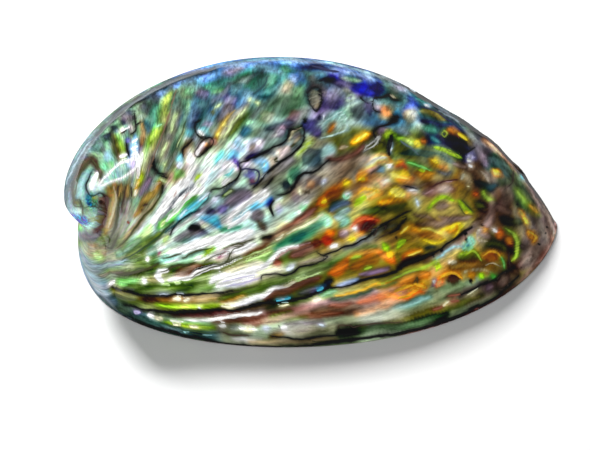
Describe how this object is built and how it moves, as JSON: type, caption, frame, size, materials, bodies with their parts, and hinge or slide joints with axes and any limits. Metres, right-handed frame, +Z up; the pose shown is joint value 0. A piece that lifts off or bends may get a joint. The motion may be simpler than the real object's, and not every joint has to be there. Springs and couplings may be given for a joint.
{
  "type": "abalone shell",
  "caption": "Polished whole abalone shell, a domed ear-shaped bowl with a low spire at one end and a row of breathing holes, lying mouth down on its flat rim.",
  "frame": {"origin": "centre of the shell's box, on the plane that its rim rests on", "axes": "+X from the spire to the front tip along the shell's length, +Y towards the keel with the breathing holes, +Z up through the dome"},
  "size_m": [0.1445, 0.1052, 0.0437],
  "materials": {
    "nacre": "polished iridescent mother of pearl, banded green, blue, gold and mauve"
  },
  "bodies": {
    "root": {"abalone_shell": "nacre"}
  },
  "joints": []
}
